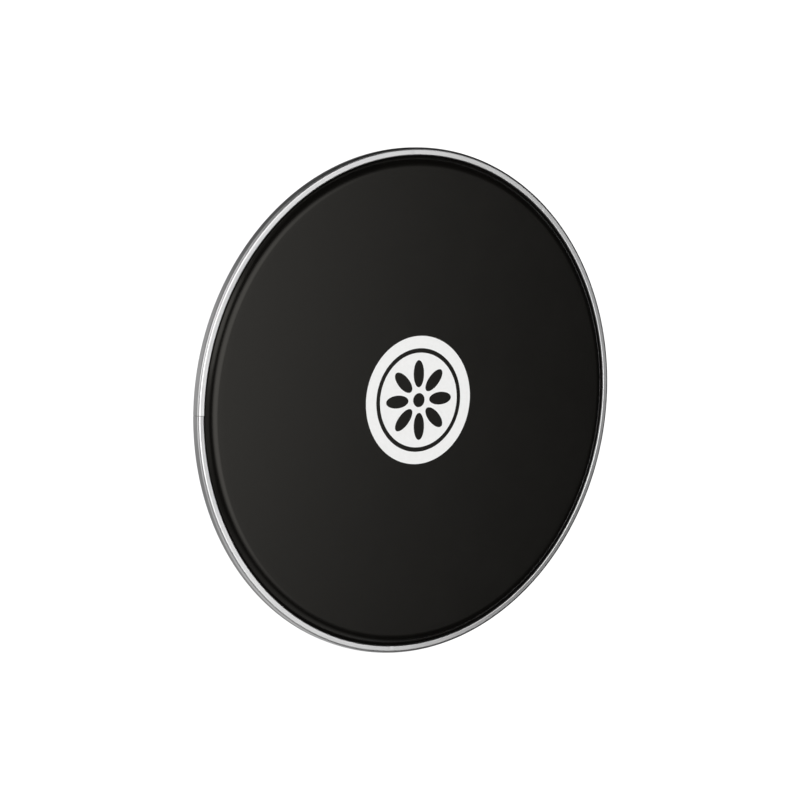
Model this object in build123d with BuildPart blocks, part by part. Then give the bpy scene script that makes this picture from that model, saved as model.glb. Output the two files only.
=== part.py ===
from build123d import *
from build123d.topology import SkipClean
import math
import os

# A 12 inch hand-drum head, lying flat with its playing surface up.
# Millimetres. The origin is the centre of the hoop's bottom plane, and +Z is the drum's axis.

# ---- Driving dimensions ----
shell_diameter = 304.8  # the drum shell that the head slips over, 12 inches
shell_clearance = 0.1  # radial slip between the shell and the collar

film_thickness = 0.2  # polyester base ply
glue_thickness = 0.1  # laminating adhesive
napa_thickness = 0.3  # synthetic-leather face ply
ink_thickness = 0.06  # printed roundel

hoop_diameter = 316.0
hoop_bore_diameter = 306.4
hoop_height = 6.0
hoop_sheet = 0.7  # thickness of the rolled aluminium
hoop_inner_corner = 0.75  # outside radius of the bend beside the collar
hoop_shoulder = 1.9  # outside radius of the bend at the outer rim
hoop_foot_corner = 1.1  # outside radius of the bend down at the foot
hoop_foot_reach = 2.1  # how far the foot turns in under the channel
inner_wall_end = 2.0  # height of the centre of the inner wall's rounded end

playing_height = 8.0  # top of the face ply over the hoop's bottom plane
crown_radius = 7.5  # the face's long bend over the shell's rounded edge
crown_angle = 45.0  # how far that bend turns, in degrees
slope_length = 2.44  # straight run down the shell's bevel after it
collar_radius = 1.2  # the face's tight bend from there into the collar
edge_height = 4.3  # top of the laminate's turned-up edge inside the channel
wedge_angle = 45  # each ply is built from wedges this wide, in degrees

wire_diameter = 2.0  # locking ring inside the channel
wire_height = 3.0  # height of the locking ring's centre
wire_gap = 0.05  # resin between the locking ring and the laminate
resin_level = 1.2  # height of the cast resin's lower surface

joint_angle = 178.5  # where the hoop's two ends meet
joint_gap = 0.25
key_span = 9.0  # degrees of the hoop that the splice key bridges
key_width = 1.6
key_thickness = 0.55
key_clearance = 0.35  # between the key and the channel's inner wall

roundel_diameter = 80.2
roundel_centre = (-1.0, 2.1)
petal_count = 8
petal_length = 17.0
petal_width = 8.0
petal_orbit = 16.5  # from the roundel's centre to the middle of each petal
hub_radius = 4.4
ring_inner_radius = 29.6
ring_outer_radius = 32.4

# ---- Worked out from them ----
half_sheet = hoop_sheet / 2
laminate = film_thickness + glue_thickness + napa_thickness
film_depth = napa_thickness + glue_thickness
collar_face_radius = shell_diameter / 2 + shell_clearance + laminate
crown_offset = (crown_radius - collar_radius) * math.sin(math.radians(crown_angle))
slope_offset = slope_length * math.cos(math.radians(crown_angle))
flat_radius = collar_face_radius - collar_radius - slope_offset - crown_offset

# The hoop's sheet, measured at the middle of its thickness.
inner_wall = hoop_bore_diameter / 2 + half_sheet
outer_wall = hoop_diameter / 2 - half_sheet
top_web = hoop_height - half_sheet
foot_end = outer_wall - hoop_foot_reach
bend_radii = [hoop_inner_corner - half_sheet, hoop_shoulder - half_sheet]
turn_radius = inner_wall - collar_face_radius
wire_radius = wire_diameter / 2
wire_orbit = inner_wall + turn_radius + laminate + wire_gap + wire_radius
key_middle = inner_wall + half_sheet + key_clearance + key_width / 2
key_height = hoop_height - hoop_sheet - key_thickness / 2


def draw_laminate_curve(depth):
    """Draw the curve that lies this deep under the face, from the axis to the turned-up edge."""
    flat = Line((0, playing_height - depth), (flat_radius, playing_height - depth))
    crown = JernArc(flat @ 1, flat % 1, crown_radius - depth, -crown_angle)
    slope = Line(crown @ 1, crown @ 1 + (crown % 1) * slope_length)
    bend = JernArc(slope @ 1, slope % 1, collar_radius - depth, crown_angle - 90)
    wall = Line(bend @ 1, (collar_face_radius - depth, inner_wall_end))
    turn = JernArc(wall @ 1, wall % 1, turn_radius + depth, 180)
    edge = Line(turn @ 1, (inner_wall + turn_radius + depth, edge_height))
    return flat @ 0, edge @ 1


def laminate_section(upper_depth, lower_depth, turn=0):
    """The section of the laminate between two depths under its face, this many degrees round the axis."""
    with BuildSketch(Plane.XZ.rotated((0, 0, turn))) as section:
        with BuildLine():
            upper = draw_laminate_curve(upper_depth)
            lower = draw_laminate_curve(lower_depth)
            Line(upper[0], lower[0])
            Line(upper[1], lower[1])
        make_face()
    return section


def form_ply(upper_depth, lower_depth):
    """Add one ply of the laminate to the open BuildPart, in wedges whose faces stay separate."""
    for turn in range(0, 360, wedge_angle):
        section = laminate_section(upper_depth, lower_depth, turn)
        with SkipClean():
            revolve(section.sketch, axis=Axis.Z, revolution_arc=wedge_angle, clean=False)


def hoop_section():
    """The rolled channel, open underneath, with both its edges rounded."""
    with BuildSketch(Plane.XZ) as section:
        with BuildLine():
            FilletPolyline(
                (inner_wall, inner_wall_end),
                (inner_wall, top_web),
                (outer_wall, top_web),
                (outer_wall, half_sheet),
                (foot_end, half_sheet),
                radius=bend_radii + [hoop_foot_corner - half_sheet],
            )
            offset(amount=half_sheet)
        make_face()
    return section


os.makedirs("parts", exist_ok=True)

# ---- Hoop: one rolled aluminium channel whose two ends butt together ----
with BuildPart() as flesh_hoop:
    revolve(hoop_section().sketch, axis=Axis.Z)
    with PolarLocations(outer_wall, 1, start_angle=joint_angle):
        Box(4 * hoop_height, joint_gap, 4 * hoop_height, mode=Mode.SUBTRACT)
flesh_hoop.part.label = "flesh_hoop"
export_step(flesh_hoop.part, "parts/flesh_hoop.step")

# ---- Splice key: a curved strip under the channel's web, across the butt joint ----
with BuildPart() as splice_key:
    with BuildSketch(Plane.XZ.rotated((0, 0, joint_angle - key_span / 2))):
        with Locations((key_middle, key_height)):
            Rectangle(key_width, key_thickness)
    revolve(axis=Axis.Z, revolution_arc=key_span)
splice_key.part.label = "splice_key"
export_step(splice_key.part, "parts/splice_key.step")

# ---- Laminate: three plies formed together, with their edge turned up inside the channel ----
with BuildPart() as napa_face:
    form_ply(0, napa_thickness)
napa_face.part.label = "napa_face"
export_step(napa_face.part, "parts/napa_face.step")

with BuildPart() as laminating_adhesive:
    form_ply(napa_thickness, film_depth)
laminating_adhesive.part.label = "laminating_adhesive"
export_step(laminating_adhesive.part, "parts/laminating_adhesive.step")

with BuildPart() as base_film:
    form_ply(film_depth, laminate)
base_film.part.label = "base_film"
export_step(base_film.part, "parts/base_film.step")

# ---- Locking ring: a round wire that the laminate's edge can't pull past ----
with BuildPart() as lock_ring:
    with BuildSketch(Plane.XZ):
        with Locations((wire_orbit, wire_height)):
            Circle(wire_radius)
    revolve(axis=Axis.Z)
lock_ring.part.label = "lock_ring"
export_step(lock_ring.part, "parts/lock_ring.step")

# ---- Resin: cast into the upturned channel round the edge, the ring and the key ----
with BuildPart() as bonding_resin:
    with BuildSketch(Plane.XZ):
        with BuildLine():
            channel = FilletPolyline(
                (inner_wall, resin_level),
                (inner_wall, top_web),
                (outer_wall, top_web),
                (outer_wall, resin_level),
                radius=bend_radii,
            )
            Line(channel @ 1, channel @ 0)
        make_face()
        add(hoop_section().sketch_local, mode=Mode.SUBTRACT)
        add(laminate_section(half_sheet - turn_radius, laminate).sketch_local, mode=Mode.SUBTRACT)
        with Locations((wire_orbit, wire_height)):
            Circle(wire_radius, mode=Mode.SUBTRACT)
    revolve(axis=Axis.Z)
    add(splice_key.part, mode=Mode.SUBTRACT)
bonding_resin.part.label = "bonding_resin"
export_step(bonding_resin.part, "parts/bonding_resin.step")

# ---- Printed roundel: white ink with a plain rosette and ring left open ----
with BuildPart() as printed_roundel:
    with BuildSketch(Plane.XY.offset(playing_height)):
        with Locations(roundel_centre):
            Circle(roundel_diameter / 2)
            Circle(ring_outer_radius, mode=Mode.SUBTRACT)
            Circle(ring_inner_radius)
            Circle(hub_radius, mode=Mode.SUBTRACT)
            with PolarLocations(petal_orbit, petal_count):
                Ellipse(petal_length / 2, petal_width / 2, mode=Mode.SUBTRACT)
    extrude(amount=ink_thickness)
printed_roundel.part.label = "printed_roundel"
export_step(printed_roundel.part, "parts/printed_roundel.step")
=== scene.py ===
import math

import bmesh
import bpy
from mathutils import Matrix, Vector


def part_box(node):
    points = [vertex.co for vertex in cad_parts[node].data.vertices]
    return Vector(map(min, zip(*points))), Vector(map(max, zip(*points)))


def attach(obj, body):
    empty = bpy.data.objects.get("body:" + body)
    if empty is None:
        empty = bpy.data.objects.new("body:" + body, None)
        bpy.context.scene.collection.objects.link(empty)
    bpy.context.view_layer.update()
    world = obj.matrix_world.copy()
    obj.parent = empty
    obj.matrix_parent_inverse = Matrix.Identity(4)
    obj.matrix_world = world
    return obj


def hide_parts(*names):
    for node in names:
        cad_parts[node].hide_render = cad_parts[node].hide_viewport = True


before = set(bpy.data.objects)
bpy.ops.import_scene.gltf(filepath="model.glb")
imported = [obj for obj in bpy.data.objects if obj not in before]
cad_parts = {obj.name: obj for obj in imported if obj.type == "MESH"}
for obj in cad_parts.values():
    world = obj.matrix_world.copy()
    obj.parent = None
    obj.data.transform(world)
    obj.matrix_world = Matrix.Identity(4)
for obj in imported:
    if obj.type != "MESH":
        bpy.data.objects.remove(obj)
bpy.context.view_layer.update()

scene = bpy.context.scene
MM = 0.001

# A 12 inch hand-drum head lying on its hoop, playing surface up. Metres, in the frame's own axes:
# the origin is the centre of the hoop's bottom plane and +Z is the drum's axis.

hoop_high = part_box("flesh_hoop")[1]
face_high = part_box("napa_face")[1]
glue_low, glue_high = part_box("laminating_adhesive")
film_low, film_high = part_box("base_film")
resin_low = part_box("bonding_resin")[0]

# ---- Sizes that the boxes give ----
HOOP_RADIUS = hoop_high.x
HOOP_HEIGHT = hoop_high.z
PLAYING_HEIGHT = face_high.z
NAPA = face_high.z - glue_high.z  # thickness of the face ply
GLUE = glue_high.z - film_high.z
FILM = glue_low.z - film_low.z
EDGE_RADIUS = face_high.x - NAPA  # inner side of the laminate's turned-up edge
RESIN_LEVEL = resin_low.z

# ---- Sizes of the formed sections ----
SHEET = 0.7 * MM  # the hoop's rolled aluminium
HOOP_WIDTH = 4.8 * MM
INNER_CORNER = 0.75 * MM  # outside radii of the hoop's bends
SHOULDER = 1.9 * MM
FOOT_CORNER = 1.1 * MM
FOOT_REACH = 2.1 * MM
WALL_END = 2.0 * MM  # height of the centre of the inner wall's rounded end
CROWN_RADIUS = 7.5 * MM  # the face's long bend over the shell's edge
CROWN_ANGLE = 45  # degrees
SLOPE_LENGTH = 2.44 * MM  # straight run down the shell's bevel
COLLAR_RADIUS = 1.2 * MM
TURN_RADIUS = 0.45 * MM  # between the laminate's face and the middle of the hoop's inner wall
EDGE_HEIGHT = 4.3 * MM
JOINT_ANGLE = math.radians(178.5)
JOINT_GAP = 0.25 * MM

# ---- How finely the meshes are divided ----
CROWN_STEPS, COLLAR_STEPS, TURN_STEPS = 16, 8, 10  # in each bend of the laminate
CORNER_STEPS, SHOULDER_STEPS, ROUND_STEPS = 9, 14, 8  # in each bend and rounded edge of the hoop
FACE_RINGS, FILM_RINGS = 36, 24  # across the flat of the ply
HOOP_SEGMENTS, PLY_SEGMENTS, RESIN_SEGMENTS = 960, 720, 480  # round the axis
MERGE_DISTANCE = 1e-7
SHARP_ANGLE = math.radians(50)  # an edge bent more than this shades as a crease

INNER_WALL = HOOP_RADIUS - HOOP_WIDTH + SHEET / 2
OUTER_WALL = HOOP_RADIUS - SHEET / 2
TOP_WEB = HOOP_HEIGHT - SHEET / 2
COLLAR_FACE = INNER_WALL - TURN_RADIUS
CROWN_REACH = (CROWN_RADIUS - COLLAR_RADIUS) * math.sin(math.radians(CROWN_ANGLE))
SLOPE_REACH = SLOPE_LENGTH * math.cos(math.radians(CROWN_ANGLE))
FLAT_RADIUS = COLLAR_FACE - COLLAR_RADIUS - SLOPE_REACH - CROWN_REACH


# ---- Sections, as lists of (radius, height) points ----
def arc(centre, radius, start, end, steps):
    """Points on an arc from one angle to another, in degrees, both ends included."""
    turns = [math.radians(start + (end - start) * i / steps) for i in range(steps + 1)]
    return [(centre[0] + radius * math.cos(t), centre[1] + radius * math.sin(t)) for t in turns]


def support(points, margin=0.08 * MM):
    """Adds a point just inside each end of every long straight run, so that it shades flat."""
    made = [points[0]]
    for a, b in zip(points, points[1:]):
        length = math.dist(a, b)
        if length > 5 * margin:
            for t in (margin / length, 1 - margin / length):
                made.append((a[0] + (b[0] - a[0]) * t, a[1] + (b[1] - a[1]) * t))
        made.append(b)
    return made


def laminate_curve(depth, rings=1, fine=1):
    """The curve this deep under the face, from the axis over the crown and collar to the turned-up edge."""
    crown = (FLAT_RADIUS, PLAYING_HEIGHT - CROWN_RADIUS)
    lean = math.radians(90 - CROWN_ANGLE)
    reach = CROWN_RADIUS - COLLAR_RADIUS
    run, drop = SLOPE_REACH, SLOPE_LENGTH * math.sin(math.radians(CROWN_ANGLE))
    collar = (crown[0] + reach * math.cos(lean) + run, crown[1] + reach * math.sin(lean) - drop)
    points = [(FLAT_RADIUS * i / rings, PLAYING_HEIGHT - depth) for i in range(rings)]
    points += arc(crown, CROWN_RADIUS - depth, 90, 90 - CROWN_ANGLE, CROWN_STEPS * fine)
    points += arc(collar, COLLAR_RADIUS - depth, 90 - CROWN_ANGLE, 0, COLLAR_STEPS * fine)
    points += arc((INNER_WALL, WALL_END), TURN_RADIUS + depth, 180, 360, TURN_STEPS * fine)
    points.append((EDGE_RADIUS + depth, EDGE_HEIGHT))
    return points


def hoop_curve(side):
    """The hoop's sheet on one side of its middle: 1 is the outside of its bends, -1 the inside."""
    shift = side * SHEET / 2
    inner, shoulder, foot = (r - SHEET / 2 for r in (INNER_CORNER, SHOULDER, FOOT_CORNER))
    points = [(INNER_WALL - shift, WALL_END)]
    points += arc((INNER_WALL + inner, TOP_WEB - inner), inner + shift, 180, 90, CORNER_STEPS)
    points += arc((OUTER_WALL - shoulder, TOP_WEB - shoulder), shoulder + shift, 90, 0, SHOULDER_STEPS)
    points += arc((OUTER_WALL - foot, SHEET / 2 + foot), foot + shift, 0, -90, CORNER_STEPS)
    points.append((OUTER_WALL - FOOT_REACH, SHEET / 2 - shift))
    return support(points)


def hoop_outline():
    """The whole outline of the rolled channel, with both of its edges rounded."""
    foot_end = arc((OUTER_WALL - FOOT_REACH, SHEET / 2), SHEET / 2, 270, 90, ROUND_STEPS)[1:-1]
    wall_end = arc((INNER_WALL, WALL_END), SHEET / 2, 360, 180, ROUND_STEPS)[1:-1]
    return hoop_curve(1) + foot_end + hoop_curve(-1)[::-1] + wall_end


# ---- Turning a section into a mesh ----
def lathe(name, outline, start, sweep, steps, shape=None):
    """Turns a closed outline round the drum's axis. A full turn closes on itself; a shorter one is capped."""
    whole = abs(sweep - 2 * math.pi) < 1e-9
    rows = steps if whole else steps + 1
    count = len(outline)
    vertices, faces = [], []
    for i in range(rows):
        angle = start + sweep * i / steps
        for radius, height in outline:
            if shape:
                radius, height = shape(angle, radius, height)
            vertices.append((radius * math.cos(angle), radius * math.sin(angle), height))
    for i in range(steps):
        here, there = i * count, (i + 1) % rows * count
        for j in range(count):
            k = (j + 1) % count
            faces.append((here + j, there + j, there + k, here + k))
    if not whole:
        faces.append(tuple(range(count)))
        faces.append(tuple(range(steps * count, steps * count + count)))
    mesh = bpy.data.meshes.new(name)
    mesh.from_pydata(vertices, [], faces)
    work = bmesh.new()
    work.from_mesh(mesh)
    bmesh.ops.remove_doubles(work, verts=work.verts, dist=MERGE_DISTANCE)
    bmesh.ops.recalc_face_normals(work, faces=work.faces)
    for face in work.faces:
        face.smooth = True
    for edge in work.edges:
        edge.smooth = edge.calc_face_angle(0) < SHARP_ANGLE
    work.to_mesh(mesh)
    work.free()
    piece = bpy.data.objects.new(name, mesh)
    scene.collection.objects.link(piece)
    return piece


def ease(x):
    """0 below 0, 1 above 1, and smooth between."""
    x = min(1.0, max(0.0, x))
    return x * x * (3 - 2 * x)


def bump_at(angle, middle, width):
    """1 at an angle round the hoop, falling smoothly to 0 this many degrees away."""
    apart = abs(math.degrees(math.remainder(angle - math.radians(middle), 2 * math.pi)))
    return ease(1 - apart / width)


# ---- Material tools ----
def add_node(tree, kind, inputs=None, **settings):
    """Adds a node. Each input is a number, a tuple or another node's output."""
    made = tree.nodes.new(kind)
    for name, value in settings.items():
        setattr(made, name, value)
    for key, value in (inputs or {}).items():
        if isinstance(value, bpy.types.NodeSocket):
            tree.links.new(value, made.inputs[key])
        else:
            made.inputs[key].default_value = value
    return made


def new_material(name, **constants):
    """A Principled material whose all-over values sit on the shader's own sockets."""
    material = bpy.data.materials.new(name)
    material.use_nodes = True
    shader = material.node_tree.nodes["Principled BSDF"]
    for key, value in constants.items():
        shader.inputs[key.replace("_", " ")].default_value = value
    return material, material.node_tree, shader


def maths(tree, operation, a, b=0.0, c=0.0):
    return add_node(tree, "ShaderNodeMath", {0: a, 1: b, 2: c}, operation=operation).outputs[0]


def spread(tree, value, low, high, from_low=0.0, from_high=1.0):
    """Maps a value from one range to another."""
    inputs = {"Value": value, "From Min": from_low, "From Max": from_high, "To Min": low, "To Max": high}
    return add_node(tree, "ShaderNodeMapRange", inputs).outputs[0]


def blend_colours(tree, share, low, high):
    """A colour between two others, by a share from 0 to 1."""
    ramp = add_node(tree, "ShaderNodeValToRGB", {0: share})
    ramp.color_ramp.elements[0].color = (*low, 1)
    ramp.color_ramp.elements[1].color = (*high, 1)
    return ramp.outputs[0]


def place(tree):
    return add_node(tree, "ShaderNodeTexCoord").outputs["Object"]


def noise(tree, vector, size, detail=2.0, roughness=0.5):
    """Noise whose features are about this many metres across."""
    inputs = {"Vector": vector, "Scale": 1 / size, "Detail": detail, "Roughness": roughness}
    return add_node(tree, "ShaderNodeTexNoise", inputs).outputs[0]


def cells(tree, vector, size, feature="F1"):
    inputs = {"Vector": vector, "Scale": 1 / size}
    return add_node(tree, "ShaderNodeTexVoronoi", inputs, feature=feature).outputs[0]


def relief(tree, shader, height, depth, strength=1.0):
    """Raises the surface by a height from 0 to 1 times a depth in metres."""
    inputs = {"Strength": strength, "Distance": depth, "Height": height}
    normal = add_node(tree, "ShaderNodeBump", inputs).outputs[0]
    tree.links.new(normal, shader.inputs["Normal"])


def round_the_axis(tree):
    """Coordinates in metres round the drum's axis, across it and up it. They jump only at the joint."""
    turn = {"Vector": place(tree), "Angle": math.pi - JOINT_ANGLE}
    turned = add_node(tree, "ShaderNodeVectorRotate", turn, rotation_type="Z_AXIS").outputs[0]
    parts = add_node(tree, "ShaderNodeSeparateXYZ", {0: turned}).outputs
    angle = maths(tree, "ARCTAN2", parts[1], parts[0])
    flat = add_node(tree, "ShaderNodeCombineXYZ", {0: parts[0], 1: parts[1]}).outputs[0]
    radius = add_node(tree, "ShaderNodeVectorMath", {0: flat}, operation="LENGTH").outputs["Value"]
    around = maths(tree, "MULTIPLY", angle, HOOP_RADIUS)
    return add_node(tree, "ShaderNodeCombineXYZ", {0: around, 1: radius, 2: parts[2]}).outputs[0]


def stretched(tree, vector, factor):
    """Makes features this many times longer round the axis than across it."""
    return add_node(tree, "ShaderNodeMapping", {"Vector": vector, "Scale": (1 / factor, 1, 1)}).outputs[0]


def link(tree, value, shader, socket):
    tree.links.new(value, shader.inputs[socket])


# ---- Materials ----
WANDER_SCALE = 700.0  # per metre, of the noise that bends the pebble's creases


def grain_height(tree):
    """The fine pebble of smooth synthetic leather, 0 in its creases to 1 on its pebbles."""
    where = place(tree)
    drift = {"Vector": where, "Scale": WANDER_SCALE, "Detail": 2.0}
    wander = add_node(tree, "ShaderNodeTexNoise", drift).outputs[1]
    shift = {0: wander, "Scale": 0.6 * MM}
    shifted = add_node(tree, "ShaderNodeVectorMath", shift, operation="SCALE").outputs[0]
    bent = add_node(tree, "ShaderNodeVectorMath", {0: where, 1: shifted}, operation="ADD").outputs[0]
    pebble = spread(tree, cells(tree, bent, 0.75 * MM, "DISTANCE_TO_EDGE"), 0, 1, 0.0, 0.22)
    pores = noise(tree, where, 0.12 * MM, 4.0, 0.6)
    return maths(tree, "ADD", maths(tree, "MULTIPLY", pebble, 0.65), maths(tree, "MULTIPLY", pores, 0.35))


def make_napa():
    warm = (1.0, 0.965, 0.89, 1)
    material, tree, shader = new_material("napa", Specular_IOR_Level=0.36, Specular_Tint=warm)
    where = place(tree)
    cloud = noise(tree, where, 30 * MM, 3.0)
    colour = blend_colours(tree, cloud, (0.0015, 0.0014, 0.0012), (0.0023, 0.0021, 0.0018))
    link(tree, colour, shader, "Base Color")
    handled = noise(tree, where, 18 * MM, 4.0, 0.6)
    link(tree, spread(tree, handled, 0.23, 0.28), shader, "Roughness")
    relief(tree, shader, grain_height(tree), 0.02 * MM, 0.3)
    return material


def make_ink():
    material, tree, shader = new_material("white_ink", Specular_IOR_Level=0.4)
    where = place(tree)
    cover = noise(tree, where, 2.5 * MM, 5.0, 0.65)
    link(tree, blend_colours(tree, cover, (0.68, 0.68, 0.67), (0.76, 0.76, 0.755)), shader, "Base Color")
    link(tree, spread(tree, noise(tree, where, 6 * MM, 3.0), 0.46, 0.58), shader, "Roughness")
    relief(tree, shader, grain_height(tree), 0.015 * MM, 0.3)
    return material


def make_aluminium():
    material, tree, shader = new_material("rolled_aluminium", Metallic=1.0, Anisotropic=0.4)
    around = round_the_axis(tree)
    drawn = noise(tree, stretched(tree, around, 300), 0.05 * MM, 3.0, 0.6)
    scuffs = noise(tree, stretched(tree, around, 40), 0.25 * MM, 4.0, 0.7)
    cloud = noise(tree, place(tree), 22 * MM, 4.0, 0.6)
    tone = maths(tree, "ADD", maths(tree, "MULTIPLY", cloud, 0.6), maths(tree, "MULTIPLY", scuffs, 0.4))
    link(tree, blend_colours(tree, tone, (0.70, 0.70, 0.705), (0.96, 0.96, 0.955)), shader, "Base Color")
    link(tree, spread(tree, scuffs, 0.27, 0.44), shader, "Roughness")
    tangent = add_node(tree, "ShaderNodeTangent", direction_type="RADIAL", axis="Z").outputs[0]
    link(tree, tangent, shader, "Tangent")
    height = maths(tree, "ADD", maths(tree, "MULTIPLY", drawn, 0.5), maths(tree, "MULTIPLY", scuffs, 0.5))
    relief(tree, shader, height, 0.014 * MM, 0.7)
    return material


def make_steel(name, low, high):
    """Bright steel with the lines that drawing or slitting leaves along it."""
    material, tree, shader = new_material(name, Metallic=1.0)
    around = round_the_axis(tree)
    lines = noise(tree, stretched(tree, around, 120), 0.08 * MM, 3.0, 0.6)
    cloud = noise(tree, place(tree), 5 * MM, 4.0, 0.6)
    link(tree, blend_colours(tree, cloud, low, high), shader, "Base Color")
    link(tree, spread(tree, lines, 0.26, 0.42), shader, "Roughness")
    relief(tree, shader, lines, 0.01 * MM, 0.6)
    return material


def make_film():
    material, tree, shader = new_material("black_film", Specular_IOR_Level=0.55)
    where = place(tree)
    haze = noise(tree, where, 40 * MM, 5.0, 0.6)
    colour = blend_colours(tree, haze, (0.006, 0.006, 0.0065), (0.011, 0.011, 0.0115))
    link(tree, colour, shader, "Base Color")
    rubbed = noise(tree, stretched(tree, round_the_axis(tree), 6), 3 * MM, 5.0, 0.65)
    link(tree, spread(tree, rubbed, 0.16, 0.30), shader, "Roughness")
    relief(tree, shader, noise(tree, where, 9 * MM, 3.0), 0.03 * MM, 0.4)
    return material


def make_adhesive():
    material, tree, shader = new_material("adhesive", Specular_IOR_Level=0.5)
    where = place(tree)
    cloud = noise(tree, where, 3 * MM, 4.0)
    link(tree, blend_colours(tree, cloud, (0.10, 0.062, 0.024), (0.17, 0.11, 0.045)), shader, "Base Color")
    link(tree, spread(tree, noise(tree, where, 1.2 * MM, 3.0), 0.22, 0.36), shader, "Roughness")
    relief(tree, shader, noise(tree, where, 0.6 * MM, 3.0), 0.02 * MM, 0.5)
    return material


def make_resin():
    material, tree, shader = new_material(
        "cast_resin", Specular_IOR_Level=0.5, Coat_Weight=0.3, Coat_Roughness=0.08
    )
    where = place(tree)
    cloud = noise(tree, where, 7 * MM, 4.0)
    link(tree, blend_colours(tree, cloud, (0.055, 0.033, 0.014), (0.11, 0.068, 0.028)), shader, "Base Color")
    bubbles = spread(tree, cells(tree, where, 1.6 * MM), 1, 0, 0.08, 0.2)
    ripple = noise(tree, stretched(tree, round_the_axis(tree), 4), 2.2 * MM, 3.0)
    link(tree, spread(tree, ripple, 0.12, 0.24), shader, "Roughness")
    height = maths(tree, "SUBTRACT", ripple, maths(tree, "MULTIPLY", bubbles, 0.6))
    relief(tree, shader, height, 0.12 * MM, 0.6)
    return material


NAPA_LOOK = make_napa()
INK_LOOK = make_ink()
ALUMINIUM_LOOK = make_aluminium()
WIRE_LOOK = make_steel("drawn_wire", (0.50, 0.50, 0.49), (0.64, 0.63, 0.61))
KEY_LOOK = make_steel("slit_steel", (0.42, 0.42, 0.43), (0.56, 0.56, 0.56))
FILM_LOOK = make_film()
ADHESIVE_LOOK = make_adhesive()
RESIN_LOOK = make_resin()


def finish_piece(piece, look, node):
    """Gives a new piece its material, hangs it on the root body and hides the CAD node that it stands for."""
    piece.data.materials.clear()
    piece.data.materials.append(look)
    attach(piece, "root")
    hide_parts(node)
    return piece


def dress(node, look):
    """Gives a CAD node that stays its material."""
    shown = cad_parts[node]
    shown.data.materials.clear()
    shown.data.materials.append(look)


# ---- Hoop ----
# Angles are in degrees round the axis from +X, and a lean towards the axis is positive.
WAVES = [(0.35, 3, 0.6), (0.25, 7, 2.1), (0.2, 13, 0.0)]  # lean in degrees, waves round the hoop, phase
NICKS = [(0.10, 50, 0.6), (0.12, 91, 0.5), (0.14, 262, 0.6)]  # depth in mm, angle, half-width in degrees
JOINT_LEANS = (1.2, -0.6)  # degrees at the end after the joint and at the end before it
JOINT_REACHES = (30, 22)  # degrees round the hoop over which each of those dies away
RIGHT_LEAN, RIGHT_MIDDLE = 0.8, 0.35  # degrees; radians round the axis
NEAR_LEAN, NEAR_MIDDLE, NEAR_REACH = -1.6, 302, 38
OUTER_RISE, RISE_MIDDLE, RISE_REACH = 0.11 * MM, 178, 42  # of the web's outer half, round the joint
END_STEP, STEP_REACH = 0.3 * MM, 25  # the hoop's two ends don't meet quite flush
STEP_START = 4.2 * MM  # height above which the lip steps, fully so 1 mm higher


def past_joint(angle):
    """Degrees from the joint, positive on the side that the angle grows towards."""
    return math.degrees(math.remainder(angle - JOINT_ANGLE, 2 * math.pi))


def hoop_lean(angle):
    """How far the hoop's web leans towards the drum's axis, in degrees."""
    past = past_joint(angle)
    side = 0 if past > 0 else 1
    lean = JOINT_LEANS[side] * (1 - ease(abs(past) / JOINT_REACHES[side]))
    lean += RIGHT_LEAN * max(0.0, math.cos(angle - RIGHT_MIDDLE))
    lean += NEAR_LEAN * bump_at(angle, NEAR_MIDDLE, NEAR_REACH)
    return lean + sum(size * math.sin(count * angle + phase) for size, count, phase in WAVES)


def hoop_shape(angle, radius, height):
    """The small twists and dents that rolling, joining and handling leave in the hoop's web."""
    past = past_joint(angle)
    half = HOOP_WIDTH / 2
    middle = HOOP_RADIUS - half
    lift = math.tan(math.radians(hoop_lean(angle))) * (radius - middle)
    lift += OUTER_RISE * ease((radius - middle) / half) * bump_at(angle, RISE_MIDDLE, RISE_REACH)
    lip = ease((middle - radius) / half)
    dents = sum(depth * MM * bump_at(angle, at, width) for depth, at, width in NICKS)
    up = ease((height - WALL_END) / (TOP_WEB - WALL_END))
    step = END_STEP * (1 - ease(past / STEP_REACH)) if past > 0 else 0.0
    return radius + step * lip * ease((height - STEP_START) / MM), height + up * (lift - dents * lip)


half_gap = JOINT_GAP / 2 / HOOP_RADIUS
hoop_sweep = 2 * math.pi - 2 * half_gap
hoop = lathe("rolled_hoop", hoop_outline(), JOINT_ANGLE + half_gap, hoop_sweep, HOOP_SEGMENTS, hoop_shape)
finish_piece(hoop, ALUMINIUM_LOOK, "flesh_hoop")


# ---- Laminate ----
PUCKER_DEPTH = 0.012 * MM
PUCKER_START, PUCKER_RISE = 149.0 * MM, 2.5 * MM  # radius where they begin, and how soon they are full
PUCKER_END, PUCKER_FADE = 152.6 * MM, 0.4 * MM


def face_shape(angle, radius, height):
    """Faint puckers that the napa keeps where it is drawn down over the collar."""
    begun = ease((radius - PUCKER_START) / PUCKER_RISE)
    where = begun * (1 - ease((radius - PUCKER_END) / PUCKER_FADE))
    ripple = math.sin(61 * angle + 1.7 * math.sin(5 * angle)) + 0.6 * math.sin(97 * angle + 2.0)
    return radius - PUCKER_DEPTH * where * (1.2 + ripple), height


face_outline = laminate_curve(0, rings=FACE_RINGS, fine=2) + laminate_curve(NAPA)[::-1]
face = lathe("napa_membrane", face_outline, 0, 2 * math.pi, PLY_SEGMENTS, face_shape)
finish_piece(face, NAPA_LOOK, "napa_face")
blank_radius = sum(math.dist(a, b) for a, b in zip(laminate_curve(0), laminate_curve(0)[1:]))

film_top = laminate_curve(NAPA + GLUE)
film_under = laminate_curve(NAPA + GLUE + FILM, rings=FILM_RINGS, fine=2)
film_outline = film_top + film_under[::-1]
film = lathe("base_film_ply", film_outline, 0, 2 * math.pi, PLY_SEGMENTS)
finish_piece(film, FILM_LOOK, "base_film")


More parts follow.
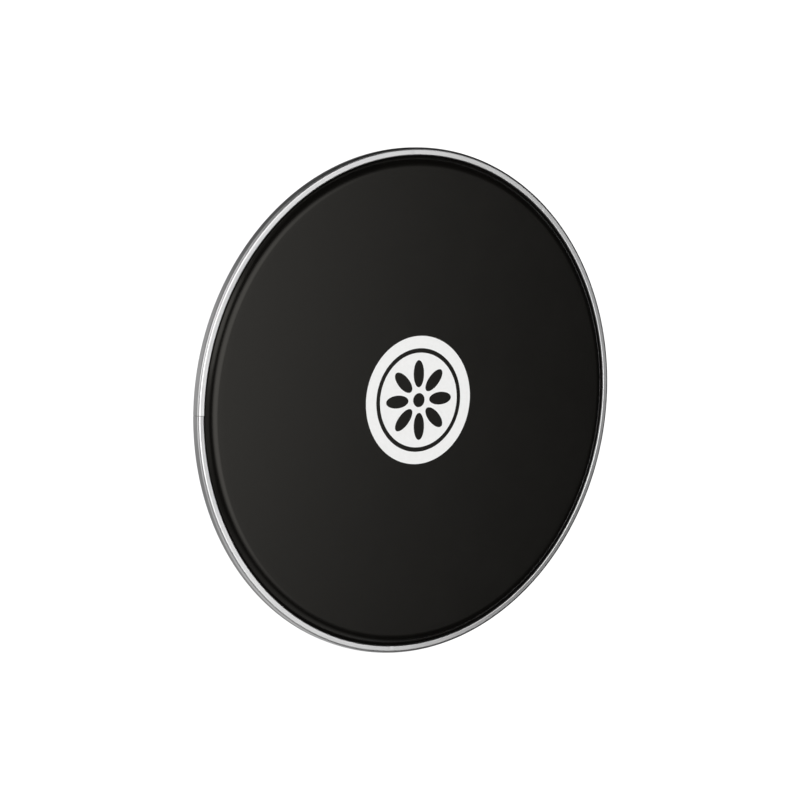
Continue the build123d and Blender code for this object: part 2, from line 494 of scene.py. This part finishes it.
# ---- Resin, with the meniscus it climbs to where it wets the channel and the laminate ----
MENISCUS = 0.35 * MM  # climb at each side
MENISCUS_FALL = 9  # how many times it falls by e across the channel
MENISCUS_STEPS = 16
RESIN_CORNER = 0.5 * MM  # first point up the channel's wall


def resin_outline():
    """Fills the channel above the resin's level, round the laminate's edge."""
    half = SHEET / 2
    inside = [p for p in hoop_curve(-1) if p[1] > RESIN_LEVEL]
    left, right = EDGE_RADIUS + NAPA + GLUE + FILM, OUTER_WALL - half
    level = []
    for i in range(MENISCUS_STEPS + 1):
        t = i / MENISCUS_STEPS
        climb = MENISCUS * (math.exp(-t * MENISCUS_FALL) + math.exp(-(1 - t) * MENISCUS_FALL))
        level.append((right + (left - right) * t, RESIN_LEVEL + climb))
    edge = [(left, EDGE_HEIGHT), (EDGE_RADIUS, EDGE_HEIGHT), (EDGE_RADIUS, WALL_END)]
    return inside + [(right, RESIN_LEVEL + RESIN_CORNER)] + level + edge + [(INNER_WALL + half, WALL_END)]


resin = lathe("resin_bead", resin_outline(), 0, 2 * math.pi, RESIN_SEGMENTS)
finish_piece(resin, RESIN_LOOK, "bonding_resin")

# ---- CAD nodes that stay ----
dress("laminating_adhesive", ADHESIVE_LOOK)
dress("lock_ring", WIRE_LOOK)
dress("splice_key", KEY_LOOK)
dress("printed_roundel", INK_LOOK)

# ---- Floor ----
FLOOR_REACH = 30  # metres each way
FLOOR_DROP = 0.02 * MM  # below the hoop's foot
floor_mesh = bpy.data.meshes.new("floor")
work = bmesh.new()
bmesh.ops.create_grid(work, x_segments=1, y_segments=1, size=FLOOR_REACH)
work.to_mesh(floor_mesh)
work.free()
floor = bpy.data.objects.new("floor", floor_mesh)
scene.collection.objects.link(floor)
floor.location.z = -FLOOR_DROP
floor_look, _, floor_shader = new_material(
    "pale_floor", Roughness=0.9, Specular_IOR_Level=0.0, Emission_Strength=0.8
)
floor_shader.inputs["Base Color"].default_value = (0.3, 0.3, 0.3, 1)
floor_shader.inputs["Emission Color"].default_value = (1, 1, 1, 1)
floor_mesh.materials.append(floor_look)
floor.visible_glossy = False


# ---- Studio light ----
def from_zenith(tilt, towards):
    """The direction this many degrees from straight up, leaning towards an azimuth in degrees."""
    t, a = math.radians(tilt), math.radians(towards)
    return (math.sin(t) * math.cos(a), math.sin(t) * math.sin(a), math.cos(t))


def glow(tree, direction, inner, outer, strength):
    """A round soft light: full within inner degrees of its middle and gone beyond outer."""
    sky = add_node(tree, "ShaderNodeTexCoord").outputs["Generated"]
    both = {0: sky, 1: direction}
    near = add_node(tree, "ShaderNodeVectorMath", both, operation="DOT_PRODUCT").outputs["Value"]
    ends = {
        "Value": near,
        "From Min": math.cos(math.radians(outer)),
        "From Max": math.cos(math.radians(inner)),
        "To Min": 0.0,
        "To Max": strength,
    }
    return add_node(tree, "ShaderNodeMapRange", ends, interpolation_type="SMOOTHSTEP").outputs[0]


world = bpy.data.worlds.new("soft_studio")
scene.world = world
world.use_nodes = True
sky_tree = world.node_tree
sky_tree.nodes.clear()
PANELS = [  # direction, full within, gone beyond (degrees), strength
    (from_zenith(6, -12), 13, 33, 2.3),  # overhead
    (from_zenith(64, 153), 9, 21, 2.3),  # small window on the left
    (from_zenith(84, 125), 8, 30, 0.45),  # its reveal
    (from_zenith(82, 188), 15, 36, 0.75),  # wall on the left
    (from_zenith(95, 256), 25, 52, 0.5),  # near wall
    (from_zenith(180, 0), 45, 65, 0.2),  # table under the hoop
    (from_zenith(143, 162), 8, 30, 0.22),  # brighter table on the left
    (from_zenith(143, 72), 15, 45, -0.14),  # darker table behind
]
AMBIENT = 0.012  # light from everywhere else
total = AMBIENT
for panel in PANELS:
    total = maths(sky_tree, "ADD", glow(sky_tree, *panel), total)
studio = add_node(sky_tree, "ShaderNodeBackground", {"Strength": total})
backdrop = add_node(sky_tree, "ShaderNodeBackground", {"Strength": 1.0})
seen = add_node(sky_tree, "ShaderNodeLightPath").outputs["Is Camera Ray"]
for background in (studio, backdrop):
    background.inputs["Color"].default_value = (1, 1, 1, 1)
mixed = add_node(sky_tree, "ShaderNodeMixShader", {0: seen, 1: studio.outputs[0], 2: backdrop.outputs[0]})
add_node(sky_tree, "ShaderNodeOutputWorld", {0: mixed.outputs[0]})

KEY_SIZE, KEY_DISTANCE = 1.6, 2.5  # metres
KEY_POWER = 48  # watts
key_direction = Vector(from_zenith(25, 149))
key_data = bpy.data.lights.new("overhead_panel", "AREA")
key_data.shape = "DISK"
key_data.size = KEY_SIZE
key_data.energy = KEY_POWER
key_light = bpy.data.objects.new("overhead_panel", key_data)
scene.collection.objects.link(key_light)
key_light.location = key_direction * KEY_DISTANCE
key_light.rotation_euler = key_direction.to_track_quat("Z", "Y").to_euler()
key_light.visible_glossy = False

# ---- Camera: over the head, tipped towards its left (-X) and a little towards +Y ----
CAMERA_DISTANCE = 1.2463
AIM_HEIGHT = 5.4 * MM
AIM_LEFT, AIM_UP = 11.0 * MM, 1.8 * MM  # where it points, from the drum's axis, in the picture's own axes
LEAN = math.radians(35.87)  # towards -X
DIP = math.radians(7.32)  # towards +Y
camera_right = Vector((math.cos(LEAN), 0, math.sin(LEAN)))
camera_back = Vector((-math.cos(DIP) * math.sin(LEAN), math.sin(DIP), math.cos(DIP) * math.cos(LEAN)))
camera_up = camera_back.cross(camera_right)
target = Vector((0, 0, AIM_HEIGHT)) - camera_right * AIM_LEFT + camera_up * AIM_UP
camera_data = bpy.data.cameras.new("camera")
camera_data.lens = 90
camera_data.sensor_width = 36
camera_data.clip_start = 0.05
camera = bpy.data.objects.new("camera", camera_data)
scene.collection.objects.link(camera)
axes = Matrix((camera_right, camera_up, camera_back)).transposed().to_4x4()
camera.matrix_world = Matrix.Translation(target + camera_back * CAMERA_DISTANCE) @ axes
scene.camera = camera
scene.view_settings.view_transform = "Standard"

bpy.context.view_layer.update()
